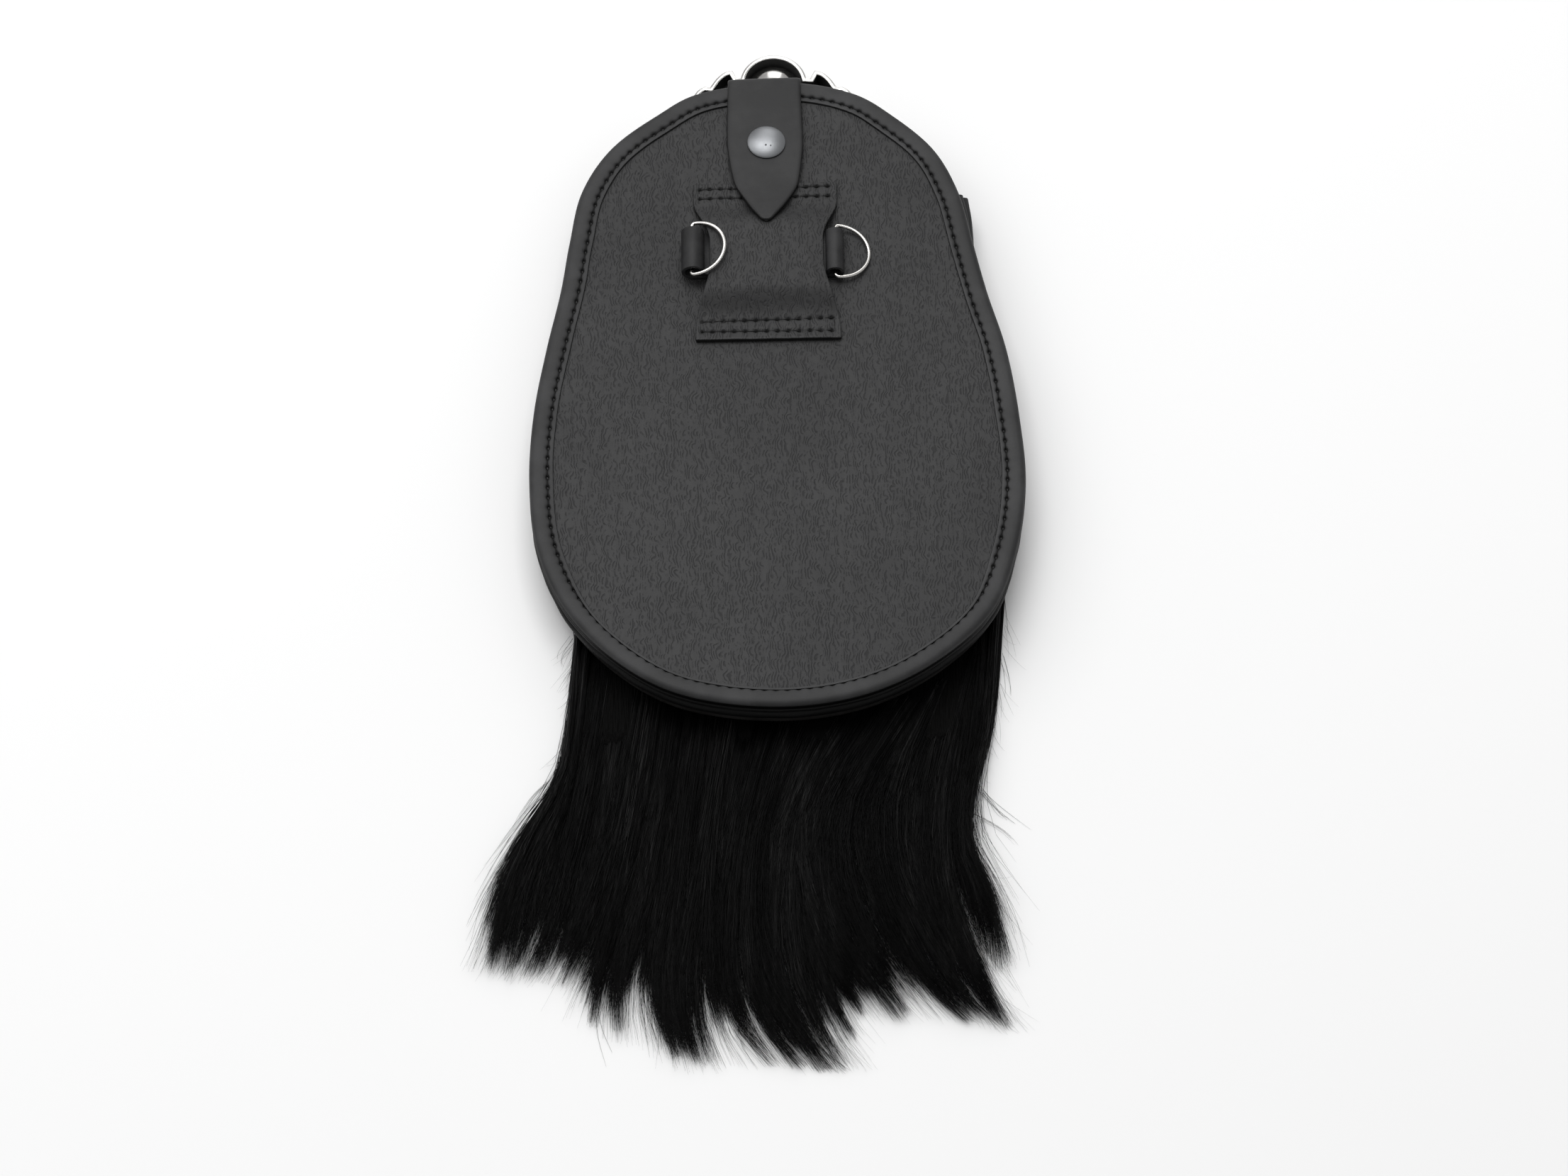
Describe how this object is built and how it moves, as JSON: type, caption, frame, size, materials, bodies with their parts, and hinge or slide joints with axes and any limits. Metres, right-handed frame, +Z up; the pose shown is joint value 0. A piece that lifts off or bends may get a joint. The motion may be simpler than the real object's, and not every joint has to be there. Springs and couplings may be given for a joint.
{
  "type": "sporran pouch",
  "caption": "Long-haired sporran pouch lying on its face: leather back with snap tab, sewn patch and D-rings, gusset, metal cantle on the front.",
  "frame": {"origin": "centre of the part's footprint, on the surface that it lies on", "axes": "+Z up, out of the leather back; +Y from the hair's tips towards the cantle; +X to the right across the leather back"},
  "size_m": [0.1979, 0.4496, 0.0322],
  "materials": {
    "grained_leather": "pebble-grained, semi-matte",
    "smooth_leather": "smooth, semi-matte",
    "hair": "long straight black hair, glossy strands",
    "cantle_metal": "polished rim, darkened hollow",
    "ring_steel": "bright wire",
    "snap_nickel": "satin"
  },
  "bodies": {
    "pouch": {"back_panel": "grained_leather", "edge_binding": "smooth_leather", "gusset": "smooth_leather", "front_panel": "smooth_leather", "fur": "hair", "cantle": "cantle_metal", "closing_tab": "smooth_leather", "snap_cap": "snap_nickel", "snap_stud": "snap_nickel", "belt_patch": "grained_leather", "ring_strap": "smooth_leather"},
    "left_d_ring": {"left_ring": "ring_steel"},
    "right_d_ring": {"right_ring": "ring_steel"}
  },
  "joints": [
    {"name": "left_ring_swing", "type": "hinge", "parent": "pouch", "child": "left_d_ring", "pos_m": [-0.0288, 0.1196, 0.02815], "axis": [0, -1, 0], "range_deg": [0, 187]},
    {"name": "right_ring_swing", "type": "hinge", "parent": "pouch", "child": "right_d_ring", "pos_m": [0.0269, 0.1205, 0.0256], "axis": [0, -1, 0], "range_deg": [0, 135]}
  ]
}
